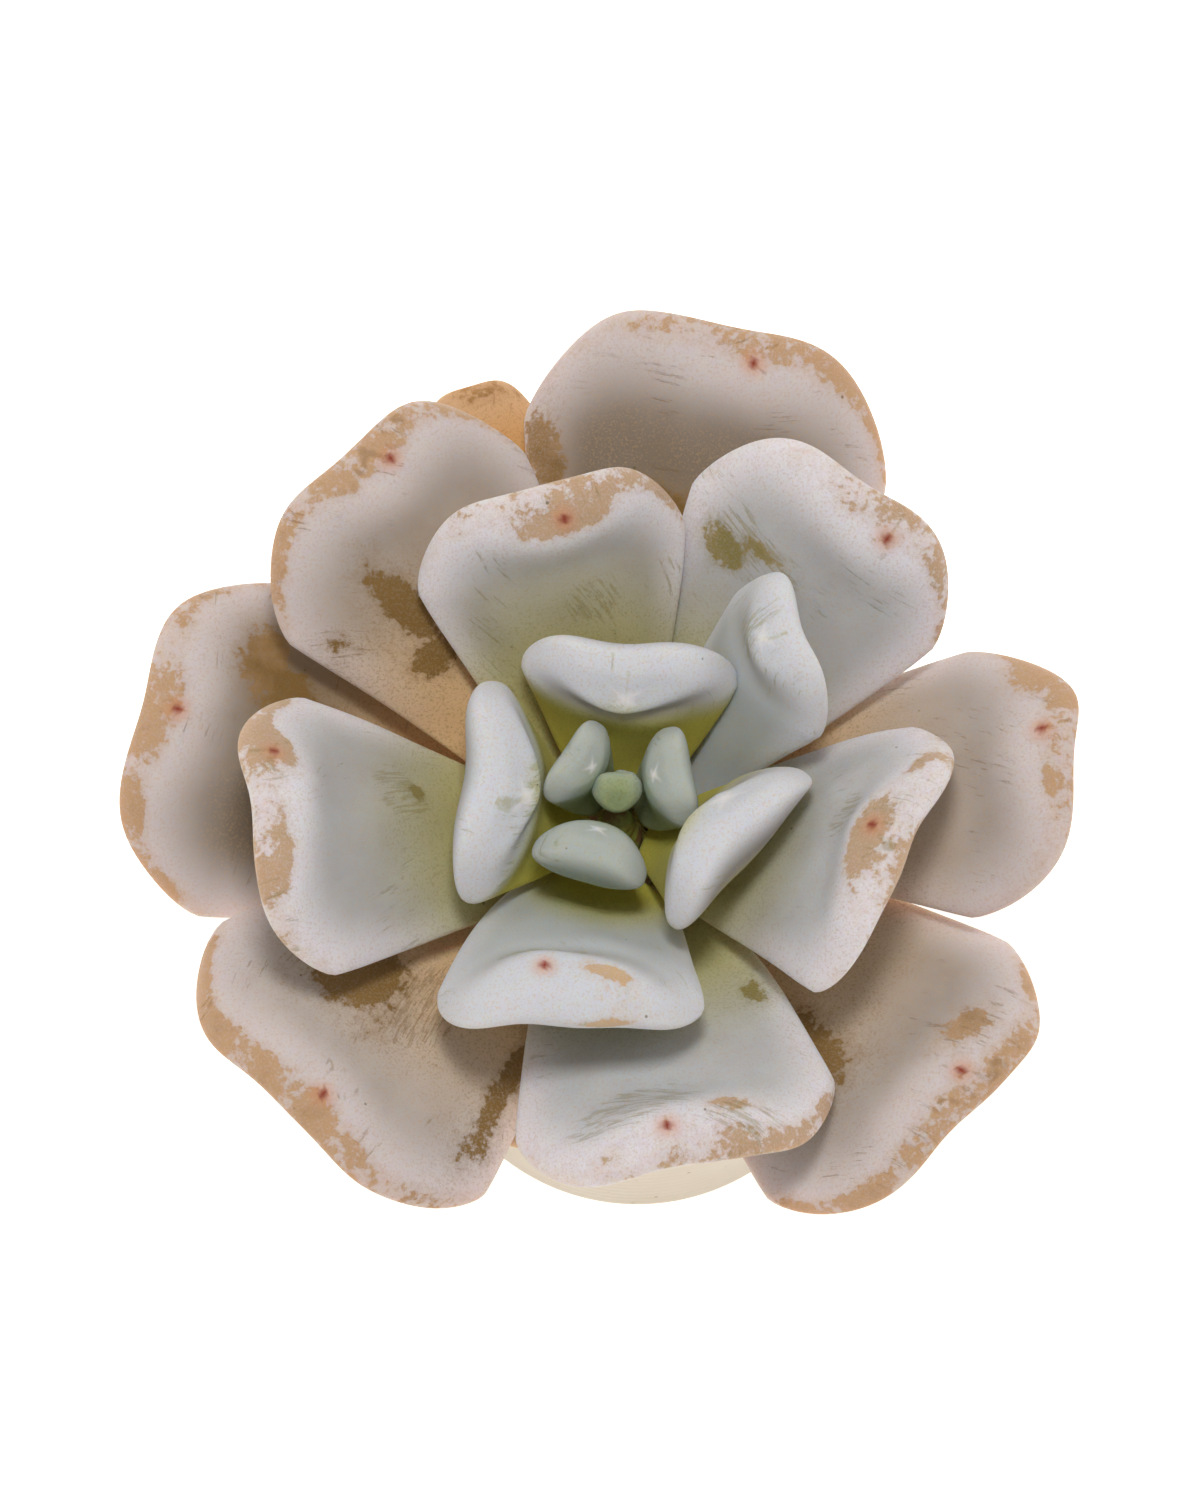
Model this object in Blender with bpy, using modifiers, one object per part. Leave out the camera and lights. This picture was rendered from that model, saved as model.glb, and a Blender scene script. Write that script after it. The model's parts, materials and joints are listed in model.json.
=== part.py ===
"""A small succulent rosette with thick blunt leaves, rooted in a plain round pot.

The pot stands on z = 0 with its axis on the world Z axis. Soil fills the pot to just below its rim, the
short stem stands in a socket in the soil, and every leaf is a separate piece seated on the stem.
"""
import math

import bmesh
import bpy
from mathutils import Vector

MM = 0.001

# Pot, in millimetres
POT_TOP_DIAMETER = 48.0
POT_FOOT_DIAMETER = 41.0
POT_HEIGHT = 48.0
POT_WALL = 2.2
POT_FLOOR = 3.0
RIM_BAND_HEIGHT = 6.0
RIM_BAND_DEPTH = 0.8
DRAIN_HOLES = 5
DRAIN_HOLE_DIAMETER = 5.0
DRAIN_CIRCLE_DIAMETER = 22.0
POT_EDGE_SOFTENING = 0.55
POT_STEPS = 48
CUTTER_OVERRUN = 1.0

# Soil and stem, in millimetres
TOUCH = 0.3
SOIL_BELOW_RIM = 3.0
SOIL_RISE = 0.8
SOIL_FOOT_CORNER = 1.0
SHOULDER_AT = 0.5
SHOULDER_RISE = 0.7
PLANT_OFF_AXIS = -2.0
STEM_HEIGHT = 18.0
STEM_ROOT_DEPTH = 6.0
STEM_FOOT_RADIUS = 4.8
STEM_TOP_RADIUS = 1.4
STEM_STEPS = 20

# The leaves' own lengths, widths and thicknesses are for a rosette this wide, in millimetres
LEAF_SET_ACROSS = 90.0
ROSETTE_ACROSS = 90.0

# How a leaf's outline and section change from its base to its end
BASE_WIDTH = 0.24
WIDEST_AT = 0.75
END_WIDTH = 0.92
BASE_THICKNESS = 0.40
EDGE_THICKNESS = 0.50
BASE_CHANNEL = 0.20
END_ARCH = -0.26
END_HOLLOW = 0.05
CORNER_SETBACK = 0.16
END_OVERHANG = 0.30
SEAT_EASE = 0.3
# The rounding draws a leaf's base end in by this share of the leaf's length
ROUNDING_DRAW = 0.011

# Leaves from the bud outwards. Angles are in degrees, sizes in millimetres.
# azimuth: the way the leaf points, counted from +X towards +Y
# seat: height above the soil at which it leaves the stem
# base_lean, end_lean: how steeply it rises at its base and at its end
# turn: how far it curves sideways; roll: how far its face tips sideways
# narrowness: 1 widens evenly from the base, and less than 1 widens early
LEAF_COLUMNS = ("name", "azimuth", "seat", "base_lean", "end_lean", "length", "width", "thickness",
                "turn", "roll", "narrowness")
LEAVES = (
    ("bud_core", 90, 19.1, 84, 88, 6.5, 5.0, 3.4, 0, 0, 1.0),
    ("bud_left", 136, 16.5, 60, 92, 11.5, 9.5, 3.8, 0, 12, 0.7),
    ("bud_right", 24, 15.6, 58, 92, 12.5, 10.5, 4.3, 0, -14, 0.7),
    ("bud_front", 246, 14.8, 58, 94, 14.0, 11.6, 5.6, 0, 8, 0.6),
    ("bud_back", 76, 16.2, 74, 84, 5.5, 2.8, 1.8, 0, 0, 1.0),
    ("inner_right", 340, 13.0, 32, 98, 20.5, 21.0, 6.4, 0, -24, 1.0),
    ("inner_left", 175, 12.4, 30, 98, 20.0, 23.0, 6.9, 0, -2, 1.0),
    ("inner_back", 84.6, 12.3, 34, 98, 21.5, 21.5, 6.4, 0, 0, 0.8),
    ("inner_front", 256, 10.6, 30, 66, 29.5, 26.5, 7.0, 0, 14, 0.55),
    ("inner_back_right", 43.0, 9.6, 24, 78, 31.0, 18.0, 5.0, 0, -25, 1.0),
    ("middle_right", 349.1, 8.3, 26, 62, 34.2, 30.5, 6.2, 0, -15, 1.0),
    ("middle_back", 104, 8.6, 27, 60, 36.0, 27.5, 6.0, 0, 3, 0.9),
    ("middle_left", 186, 8.0, 24, 54, 40.0, 29.0, 6.2, 0, 2, 1.0),
    ("middle_back_right", 54.3, 7.0, 20, 50, 42.0, 29.0, 6.2, -6, 10, 1.0),
    ("middle_front", 281, 6.6, 18, 40, 37.5, 32.0, 6.2, 0, 0, 0.6),
    ("outer_back_left", 123, 6.4, 18, 36, 44.5, 31.0, 6.2, 8, 8, 1.0),
    ("outer_right", 14.8, 5.5, 11, 31, 43.0, 27.5, 6.2, -18, -6, 1.0),
    ("outer_back", 77.3, 4.4, 9, 34, 50.0, 37.0, 6.2, 1, -2, 0.85),
    ("outer_front_left", 218, 5.2, 12, 28, 42.0, 38.0, 6.2, 8, 0, 0.8),
    ("hidden_back", 107, 3.4, 2, 12, 45.0, 14.5, 4.0, 0, 0, 1.0),
    ("outer_left", 164, 3.0, 5, 32, 46.0, 35.5, 6.2, 2, 0, 0.75),
    ("outer_front_right", 321, 3.8, 7, 29, 42.5, 35.5, 6.2, -5, 0, 0.8),
    ("hidden_front", 253, 3.4, 2, 12, 27.0, 16.0, 4.2, 0, 0, 1.0),
)
LEAF_CUTS_ACROSS = 3
LEAF_CUTS_ALONG = 3

# Colours as linear RGB, with roughness
SOIL_COLOUR = (0.055, 0.038, 0.026)
STEM_COLOUR = (0.28, 0.30, 0.12)
POT_COLOUR = (0.78, 0.70, 0.60)
BUD_COLOUR = (0.42, 0.47, 0.38)
INNER_COLOUR = (0.60, 0.61, 0.63)
OUTER_COLOUR = (0.46, 0.40, 0.36)


def clear_scene():
    for item in list(bpy.data.objects):
        bpy.data.objects.remove(item, do_unlink=True)


def new_collection(name):
    collection = bpy.data.collections.new(name)
    bpy.context.scene.collection.children.link(collection)
    return collection


def material(name, colour, roughness):
    made = bpy.data.materials.new(name)
    made.use_nodes = True
    shader = made.node_tree.nodes["Principled BSDF"]
    shader.inputs["Base Color"].default_value = (*colour, 1.0)
    shader.inputs["Roughness"].default_value = roughness
    return made


def add_object(name, mesh, collection, surface=None):
    item = bpy.data.objects.new(name, mesh)
    collection.objects.link(item)
    if surface is not None:
        mesh.materials.append(surface)
    return item


def turned_object(name, profile, steps, collection, surface):
    """A solid of revolution from (radius, height) points that run down its outer side."""
    mesh = bpy.data.meshes.new(name)
    points = [(radius * MM, 0.0, height * MM) for radius, height in profile]
    mesh.from_pydata(points, [(i, i + 1) for i in range(len(points) - 1)], [])
    item = add_object(name, mesh, collection, surface)
    screw = item.modifiers.new("turn", "SCREW")
    screw.steps = steps
    screw.render_steps = steps
    screw.use_merge_vertices = True
    screw.merge_threshold = 0.00001
    screw.use_normal_calculate = False
    screw.use_smooth_shade = True
    return item


def cut(item, cutter):
    boolean = item.modifiers.new("cut_" + cutter.name, "BOOLEAN")
    boolean.operation = "DIFFERENCE"
    boolean.solver = "EXACT"
    boolean.object = cutter


def cylinder_cutter(name, radius, low, high, place, collection, segments=24):
    mesh = bpy.data.meshes.new(name)
    shape = bmesh.new()
    bmesh.ops.create_cone(shape, cap_ends=True, segments=segments, radius1=radius * MM,
                          radius2=radius * MM, depth=(high - low) * MM)
    shape.to_mesh(mesh)
    shape.free()
    cutter = add_object(name, mesh, collection)
    cutter.location = (place[0] * MM, place[1] * MM, (high + low) / 2 * MM)
    cutter.hide_render = True
    cutter.display_type = "WIRE"
    return cutter


def pot_inner_radius(height):
    """The pot's inner wall leans out from the foot to the rim."""
    share = height / POT_HEIGHT
    outer = POT_FOOT_DIAMETER + (POT_TOP_DIAMETER - POT_FOOT_DIAMETER) * share
    return outer / 2 - POT_WALL


def build_pot(collection, cutters):
    top = POT_TOP_DIAMETER / 2
    foot = POT_FOOT_DIAMETER / 2
    band_low = POT_HEIGHT - RIM_BAND_HEIGHT
    wall_at_band = pot_inner_radius(band_low) + POT_WALL
    lip = POT_EDGE_SOFTENING
    profile = [
        (pot_inner_radius(POT_HEIGHT) + lip, POT_HEIGHT),
        (top + RIM_BAND_DEPTH - lip, POT_HEIGHT),
        (top + RIM_BAND_DEPTH, POT_HEIGHT - lip),
        (wall_at_band + RIM_BAND_DEPTH, band_low),
        (wall_at_band, band_low - RIM_BAND_DEPTH),
        (foot, lip),
        (foot - lip, 0.0),
        (0.0, 0.0),
    ]
    inside = [
        (0.0, POT_FLOOR),
        (pot_inner_radius(POT_FLOOR) - lip, POT_FLOOR),
        (pot_inner_radius(POT_FLOOR + lip), POT_FLOOR + lip),
        (pot_inner_radius(POT_HEIGHT), POT_HEIGHT - lip),
        profile[0],
    ]
    surface = material("pot_ceramic", POT_COLOUR, 0.6)
    pot = turned_object("pot", profile + inside, POT_STEPS, collection, surface)
    for number in range(DRAIN_HOLES):
        angle = math.tau * number / DRAIN_HOLES
        place = (DRAIN_CIRCLE_DIAMETER / 2 * math.cos(angle), DRAIN_CIRCLE_DIAMETER / 2 * math.sin(angle))
        cutter = cylinder_cutter(f"drain_hole_{number + 1}", DRAIN_HOLE_DIAMETER / 2, -CUTTER_OVERRUN,
                                 POT_FLOOR + CUTTER_OVERRUN, place, cutters, segments=16)
        cut(pot, cutter)
    return pot


def soil_level():
    return POT_HEIGHT - SOIL_BELOW_RIM


def build_soil(collection, cutters):
    """The potting mix, a little higher in the middle, with a socket for the stem's root end."""
    low = POT_FLOOR + TOUCH
    edge = pot_inner_radius(soil_level()) - TOUCH
    profile = [
        (0.0, soil_level() + SOIL_RISE),
        (edge * SHOULDER_AT, soil_level() + SOIL_RISE * SHOULDER_RISE),
        (edge, soil_level()),
        (pot_inner_radius(low + SOIL_FOOT_CORNER) - TOUCH, low + SOIL_FOOT_CORNER),
        (pot_inner_radius(low) - SOIL_FOOT_CORNER, low),
        (0.0, low),
    ]
    soil = turned_object("soil", profile, POT_STEPS, collection, material("soil", SOIL_COLOUR, 0.95))
    socket = cylinder_cutter("stem_socket", STEM_FOOT_RADIUS * rosette_scale() + TOUCH,
                             soil_level() - STEM_ROOT_DEPTH - TOUCH, POT_HEIGHT,
                             (PLANT_OFF_AXIS, 0.0), cutters, segments=STEM_STEPS)
    cut(soil, socket)
    return soil


def rosette_scale():
    return ROSETTE_ACROSS / LEAF_SET_ACROSS


def stem_radius(seat):
    """The stem's radius at a height above the soil, for the leaf set's own size."""
    share = seat / STEM_HEIGHT
    if share > 1.0:
        return 0.0
    return STEM_FOOT_RADIUS + (STEM_TOP_RADIUS - STEM_FOOT_RADIUS) * share


def build_stem(collection):
    scale = rosette_scale()
    heights = [STEM_HEIGHT * share / 4 for share in range(4, -1, -1)]
    profile = [(0.0, (STEM_HEIGHT + STEM_TOP_RADIUS / 2) * scale)]
    profile += [(stem_radius(height) * scale, height * scale) for height in heights]
    profile += [(STEM_FOOT_RADIUS * scale, -STEM_ROOT_DEPTH + TOUCH), (0.0, -STEM_ROOT_DEPTH)]
    stem = turned_object("stem", profile, STEM_STEPS, collection, material("stem", STEM_COLOUR, 0.7))
    stem.location = (PLANT_OFF_AXIS * MM, 0.0, soil_level() * MM)
    return stem


def ease(value):
    """0 to 1 with level ends."""
    value = min(max(value, 0.0), 1.0)
    return value * value * (3.0 - 2.0 * value)


def blend(low, high, share):
    return low + (high - low) * share


def arc_reach(leaf, along):
    """How far out and up the leaf's middle line has gone after a share of its length."""
    base = math.radians(leaf["base_lean"])
    bend = math.radians(leaf["end_lean"] - leaf["base_lean"])
    length = leaf["length"]
    if abs(bend) < 0.001:
        return length * along * math.cos(base), length * along * math.sin(base)
    lean = base + bend * along
    return (length * (math.sin(lean) - math.sin(base)) / bend,
            length * (math.cos(base) - math.cos(lean)) / bend)


def leaf_point(leaf, across, along, through):
    """The place of a point of a leaf.

    across runs from -1 to 1 over the leaf's width, along from 0 at the base to 1 at the blunt end, and
    through from -1 on the back to 1 on the face. The flat outline is worked out first, then the
    sideways curve, then the bend upwards, and last the leaf is seated on the stem.
    """
    widening = blend(BASE_WIDTH, 1.0, min(along / WIDEST_AT, 1.0) ** leaf["narrowness"])
    narrowing = blend(1.0, END_WIDTH, ease((along - WIDEST_AT) / (1.0 - WIDEST_AT)))
    half_width = leaf["width"] / 2 * widening * narrowing
    half_thickness = leaf["thickness"] / 2 * blend(BASE_THICKNESS, 1.0, ease(along / WIDEST_AT))
    half_thickness *= blend(1.0, EDGE_THICKNESS, across * across)
    curl = blend(BASE_CHANNEL, END_ARCH, ease(along))

    side = across * half_width
    lift = through * half_thickness + curl * half_width * across * across
    run = leaf["length"] * along
    end_line = END_HOLLOW * (1.0 - across * across) + CORNER_SETBACK * across ** 4
    run -= leaf["width"] * end_line * along ** 3
    run -= END_OVERHANG * leaf["thickness"] / 2 * through * along ** 3

    turn = math.radians(leaf["turn"]) * along
    run -= side * math.sin(turn)
    side = side * math.cos(turn) + leaf["length"] * turn * along / 2

    share = run / leaf["length"]
    out, up = arc_reach(leaf, share)
    lean = math.radians(blend(leaf["base_lean"], leaf["end_lean"], share))
    roll = math.radians(leaf["roll"]) * ease(along)
    azimuth = math.radians(leaf["azimuth"])
    outward = Vector((math.cos(azimuth), math.sin(azimuth), 0.0))
    sideways = Vector((-math.sin(azimuth), math.cos(azimuth), 0.0))
    upward = Vector((0.0, 0.0, 1.0))
    face = upward * math.cos(lean) - outward * math.sin(lean)
    rolled_side = sideways * math.cos(roll) + face * math.sin(roll)
    rolled_face = face * math.cos(roll) - sideways * math.sin(roll)

    base_half = leaf["thickness"] / 2 * BASE_THICKNESS
    seat_out = stem_radius(leaf["seat"]) + SEAT_EASE * base_half * math.sin(math.radians(leaf["base_lean"]))
    seat_out -= ROUNDING_DRAW * leaf["length"]
    point = outward * (seat_out + out) + upward * (leaf["seat"] + up)
    point += rolled_side * side + rolled_face * lift
    return (point + outward * TOUCH) * rosette_scale()


def build_leaf(leaf, collection, surface):
    """A coarse cage of the leaf's shape, rounded by a subdivision surface."""
    mesh = bpy.data.meshes.new(leaf["name"])
    cage = bmesh.new()
    bmesh.ops.create_cube(cage, size=2.0)
    for axis, cuts in ((0, LEAF_CUTS_ACROSS), (1, LEAF_CUTS_ALONG)):
        edges = [edge for edge in cage.edges
                 if abs(edge.verts[0].co[axis] - edge.verts[1].co[axis]) > 1.0]
        bmesh.ops.subdivide_edges(cage, edges=edges, cuts=cuts, use_grid_fill=True)
    for vertex in cage.verts:
        left, along, through = vertex.co
        vertex.co = leaf_point(leaf, -left, (along + 1.0) / 2, through) * MM
    cage.to_mesh(mesh)
    cage.free()
    item = add_object(leaf["name"], mesh, collection, surface)
    item.location = (PLANT_OFF_AXIS * MM, 0.0, soil_level() * MM)
    rounding = item.modifiers.new("rounding", "SUBSURF")
    rounding.levels = 1
    rounding.render_levels = 1
    mesh.shade_smooth()
    return item


def leaf_surfaces():
    return {
        "bud": material("leaf_bud", BUD_COLOUR, 0.7),
        "inner": material("leaf_inner", INNER_COLOUR, 0.75),
        "middle": material("leaf_middle", INNER_COLOUR, 0.75),
        "outer": material("leaf_outer", OUTER_COLOUR, 0.75),
        "hidden": material("leaf_hidden", OUTER_COLOUR, 0.75),
    }


def main():
    clear_scene()
    parts = new_collection("potted_succulent")
    cutters = new_collection("cutters")
    build_pot(parts, cutters)
    build_soil(parts, cutters)
    build_stem(parts)
    surfaces = leaf_surfaces()
    for row in LEAVES:
        leaf = dict(zip(LEAF_COLUMNS, row))
        build_leaf(leaf, parts, surfaces[leaf["name"].split("_")[0]])


main()
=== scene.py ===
# %% [markdown]
# # A small succulent rosette in a plain round pot
# The plant is a tight rosette of thick, blunt leaves covered with a pale powdery wax, called bloom.
# The leaves were already worked out as coarse solids for the physics model. This lesson keeps every
# one of them where it is, and gives each a smooth skin, a real surface and soft studio light.
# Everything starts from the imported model, which is loaded as a frame that must not move.

# %% Load the frame and measure it
import json
import math

import bpy
import mathutils
import numpy as np
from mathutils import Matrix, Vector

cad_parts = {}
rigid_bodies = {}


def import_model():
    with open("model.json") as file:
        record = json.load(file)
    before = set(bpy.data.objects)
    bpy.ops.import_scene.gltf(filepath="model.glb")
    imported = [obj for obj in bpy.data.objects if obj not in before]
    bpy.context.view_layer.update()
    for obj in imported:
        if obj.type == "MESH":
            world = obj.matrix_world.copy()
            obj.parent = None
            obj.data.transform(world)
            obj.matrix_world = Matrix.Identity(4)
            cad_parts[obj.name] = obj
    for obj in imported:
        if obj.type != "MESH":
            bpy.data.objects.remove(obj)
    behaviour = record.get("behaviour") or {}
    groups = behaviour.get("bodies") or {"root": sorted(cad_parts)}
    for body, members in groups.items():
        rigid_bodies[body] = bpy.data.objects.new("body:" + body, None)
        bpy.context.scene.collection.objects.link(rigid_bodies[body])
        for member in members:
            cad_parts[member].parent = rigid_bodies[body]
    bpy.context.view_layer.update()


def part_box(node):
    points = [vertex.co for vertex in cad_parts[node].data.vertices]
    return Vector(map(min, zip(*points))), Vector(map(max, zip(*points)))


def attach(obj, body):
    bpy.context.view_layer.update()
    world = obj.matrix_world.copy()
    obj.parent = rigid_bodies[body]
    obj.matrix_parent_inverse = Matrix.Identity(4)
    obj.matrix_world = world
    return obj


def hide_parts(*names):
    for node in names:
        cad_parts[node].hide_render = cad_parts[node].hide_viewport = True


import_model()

# %% [markdown]
# ## Small helpers
# Sizes are easier to read in millimetres, and colours as the hex values of a paint chart, so two
# helpers turn them into Blender's metres and linear light. A third adds one shader node, with its
# settings and its links, because every finish below is a small network of nodes. A fourth starts
# such a network, whose patterns all read a point's place on its object.

# %% Millimetres, colours and nodes
MM = 0.001


def linear(hex_colour):
    """sRGB hex to linear RGBA: each channel c becomes ((c + 0.055) / 1.055) ** 2.4, or c / 12.92 if dark."""
    channels = np.array([int(hex_colour[i:i + 2], 16) / 255 for i in (1, 3, 5)])
    light = np.where(channels <= 0.04045, channels / 12.92, ((channels + 0.055) / 1.055) ** 2.4)
    return (*(float(c) for c in light), 1.0)


def node(tree, kind, inputs=None, **settings):
    """Adds a node. An input's value is a plain value or the output of another node, which is linked."""
    made = tree.nodes.new(kind)
    for key, value in settings.items():
        setattr(made, key, value)
    for key, value in (inputs or {}).items():
        if isinstance(value, bpy.types.NodeSocket):
            tree.links.new(value, made.inputs[key])
        else:
            made.inputs[key].default_value = value
    return made


def blank_finish(name):
    """An empty node material, its node tree, and the place of a point on its object, in metres."""
    made = bpy.data.materials.new(name)
    made.use_nodes = True
    made.node_tree.nodes.clear()
    place = node(made.node_tree, "ShaderNodeTexCoord").outputs["Object"]
    return made, made.node_tree, place


def per_metre(size_mm):
    """The scale of a pattern whose marks are about size_mm across: one over that size in metres."""
    return 1.0 / (size_mm * MM)


print("white is", linear("#ffffff"))

# %% [markdown]
# ## Closed surfaces from a grid
# Every new piece is a skin with two poles, like a globe: rings of points between a first and a last
# point. Leaves, pot, stem and soil all fit this pattern, so one function joins the rings into faces.
# The arrays go straight into the mesh, and the faces are turned if their volume comes out negative.

# %% A skin of rings between two poles


def ring_faces(rings, around):
    """Quads between neighbouring rings, triangles at both poles. Point 0 and the last one are the poles."""
    ring, step = np.meshgrid(np.arange(rings - 1), np.arange(around), indexing="ij")
    after = (step + 1) % around
    low, high = 1 + ring * around, 1 + (ring + 1) * around
    quads = np.stack([low + step, high + step, high + after, low + after], axis=-1).reshape(-1, 4)
    step = np.arange(around)
    after = (step + 1) % around
    last = 1 + (rings - 1) * around
    first_cap = np.stack([np.zeros_like(step), 1 + step, 1 + after], axis=-1)
    last_cap = np.stack([np.full_like(step, last + around), last + after, last + step], axis=-1)
    return quads, np.concatenate([first_cap, last_cap])


def signed_volume(points, triangles):
    """A sixth of the sum of a . (b x c) over the triangles: positive if they face outwards."""
    a, b, c = (points[triangles[:, i]] for i in range(3))
    return float(np.einsum("ij,ij->i", a, np.cross(b, c)).sum() / 6)


def skin(name, points, quads, triangles, surface, values=None):
    """A smooth mesh object from arrays in metres, with named values kept on its points."""
    halves = np.concatenate([quads[:, [0, 1, 2]], quads[:, [0, 2, 3]], triangles])
    if signed_volume(points, halves) < 0:
        quads, triangles = quads[:, ::-1], triangles[:, ::-1]
    mesh = bpy.data.meshes.new(name)
    corners = np.concatenate([quads.ravel(), triangles.ravel()]).astype(np.int32)
    starts = np.concatenate([np.arange(len(quads)) * 4,
                             len(quads) * 4 + np.arange(len(triangles)) * 3]).astype(np.int32)
    mesh.vertices.add(len(points))
    mesh.vertices.foreach_set("co", points.astype(np.float32).ravel())
    mesh.loops.add(len(corners))
    mesh.loops.foreach_set("vertex_index", corners)
    mesh.polygons.add(len(starts))
    mesh.polygons.foreach_set("loop_start", starts)
    mesh.update(calc_edges=True)
    mesh.validate()
    for key, value in (values or {}).items():
        kind = "FLOAT_VECTOR" if value.ndim == 2 else "FLOAT"
        data = mesh.attributes.new(key, kind, "POINT").data
        data.foreach_set("vector" if value.ndim == 2 else "value", value.astype(np.float32).ravel())
    mesh.shade_smooth()
    mesh.materials.append(surface)
    made = bpy.data.objects.new(name, mesh)
    bpy.context.scene.collection.objects.link(made)
    return made


print("ring helper ready")

# %% [markdown]
# ## The leaf plan
# These are the model's own numbers, in millimetres and degrees. Azimuth says which way a leaf points,
# seat how high above the soil it leaves the stem, and the two leans how steeply it rises at its base
# and at its end. Turn curves it sideways, and roll tips its face.

# %% The numbers of every leaf
POT_TOP, POT_FOOT, POT_HIGH, POT_WALL, POT_FLOOR = 48.0, 41.0, 48.0, 2.2, 3.0
SOIL_BELOW_RIM, SOIL_RISE, PLANT_OFF_AXIS, TOUCH = 3.0, 0.8, -2.0, 0.3
STEM_HIGH, STEM_ROOT, STEM_FOOT_RADIUS, STEM_TOP_RADIUS = 18.0, 6.0, 4.8, 1.4
BASE_WIDTH, WIDEST_AT, END_WIDTH = 0.24, 0.75, 0.92
BASE_THICKNESS, EDGE_THICKNESS = 0.40, 0.62
HEAD = {"bud": 0.15, "inner": 0.12, "middle": 0.0, "outer": 0.0, "hidden": 0.0}
HEAD_FROM, HEAD_OVER = 0.45, 0.4
END_BEVEL, BEVEL_WIDE = 0.42, 0.5
MUCRO_AT = {"middle_left": -0.45, "middle_front": -0.1, "middle_back": -0.1, "middle_back_right": -0.3,
            "outer_back": -0.2, "outer_back_left": -0.2, "outer_front_left": 0.1, "outer_front_right": 0.2,
            "outer_right": 0.3, "inner_front": -0.15, "inner_left": 0.1, "inner_right": 0.2}
BASE_CHANNEL, END_ARCH, END_HOLLOW = 0.20, -0.26, 0.05
CORNER_SETBACK, END_OVERHANG, SEAT_EASE, ROUNDING_DRAW = 0.16, 0.30, 0.3, 0.011

COLUMNS = ("name", "azimuth", "seat", "base_lean", "end_lean", "length", "width", "thickness",
           "turn", "roll", "narrowness")
LEAVES = [dict(zip(COLUMNS, row)) for row in (
    ("bud_core", 90, 19.1, 84, 88, 6.5, 5.0, 3.4, 0, 0, 1.0),
    ("bud_left", 136, 16.5, 60, 92, 11.5, 9.5, 3.8, 0, 12, 0.7),
    ("bud_right", 24, 15.6, 58, 92, 12.5, 10.5, 4.3, 0, -14, 0.7),
    ("bud_front", 246, 14.8, 58, 94, 14.0, 11.6, 5.6, 0, 8, 0.6),
    ("bud_back", 76, 16.2, 74, 84, 5.5, 2.8, 1.8, 0, 0, 1.0),
    ("inner_right", 340, 13.0, 32, 98, 20.5, 21.0, 6.4, 0, -24, 1.0),
    ("inner_left", 175, 12.4, 30, 98, 20.0, 23.0, 6.9, 0, -2, 1.0),
    ("inner_back", 84.6, 12.3, 34, 98, 21.5, 21.5, 6.4, 0, 0, 0.8),
    ("inner_front", 256, 10.6, 30, 66, 29.5, 26.5, 7.0, 0, 14, 0.55),
    ("inner_back_right", 43.0, 9.6, 24, 78, 31.0, 18.0, 5.0, 0, -25, 1.0),
    ("middle_right", 349.1, 8.3, 26, 62, 34.2, 30.5, 6.2, 0, -15, 1.0),
    ("middle_back", 104, 8.6, 27, 60, 36.0, 27.5, 6.0, 0, 3, 0.9),
    ("middle_left", 186, 8.0, 24, 54, 40.0, 29.0, 6.2, 0, 2, 1.0),
    ("middle_back_right", 54.3, 7.0, 20, 50, 42.0, 29.0, 6.2, -6, 10, 1.0),
    ("middle_front", 281, 6.6, 18, 40, 37.5, 32.0, 6.2, 0, 0, 0.6),
    ("outer_back_left", 123, 6.4, 18, 36, 44.5, 31.0, 6.2, 8, 8, 1.0),
    ("outer_right", 14.8, 5.5, 11, 31, 43.0, 27.5, 6.2, -18, -6, 1.0),
    ("outer_back", 77.3, 4.4, 9, 34, 50.0, 37.0, 6.2, 1, -2, 0.85),
    ("outer_front_left", 218, 5.2, 12, 28, 42.0, 38.0, 6.2, 8, 0, 0.8),
    ("hidden_back", 107, 3.4, 2, 12, 45.0, 14.5, 4.0, 0, 0, 1.0),
    ("outer_left", 164, 3.0, 5, 32, 46.0, 35.5, 6.2, 2, 0, 0.75),
    ("outer_front_right", 321, 3.8, 7, 29, 42.5, 35.5, 6.2, -5, 0, 0.8),
    ("hidden_front", 253, 3.4, 2, 12, 27.0, 16.0, 4.2, 0, 0, 1.0),
)]
soil_level = POT_HIGH - SOIL_BELOW_RIM
print(len(LEAVES), "leaves; soil level", soil_level, "mm")

# %% [markdown]
# ## From a flat leaf to its place on the stem
# A leaf is first drawn flat: how wide it is at each share of its length, how thick, and how its sides
# curl. Then its middle line is bent upwards along an arc, its face is rolled, and its base is set
# against the stem. Whole arrays go through at once, so a leaf of thousands of points takes one call.

# %% The leaf formula


def group(leaf):
    """The first word of the leaf's name: bud, inner, middle, outer or hidden."""
    return leaf["name"].split("_")[0]


def ease(value):
    """0 to 1 with level ends: 3 v^2 - 2 v^3, with v held between 0 and 1."""
    value = np.clip(value, 0.0, 1.0)
    return value * value * (3.0 - 2.0 * value)


def blend(low, high, share):
    """Straight from low at share 0 to high at share 1."""
    return low + (high - low) * share


def stem_radius(seat):
    """Straight taper from the foot's radius to the top's, and 0 above the stem."""
    taper = blend(STEM_FOOT_RADIUS, STEM_TOP_RADIUS, seat / STEM_HIGH)
    return float(taper) if seat <= STEM_HIGH else 0.0


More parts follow.
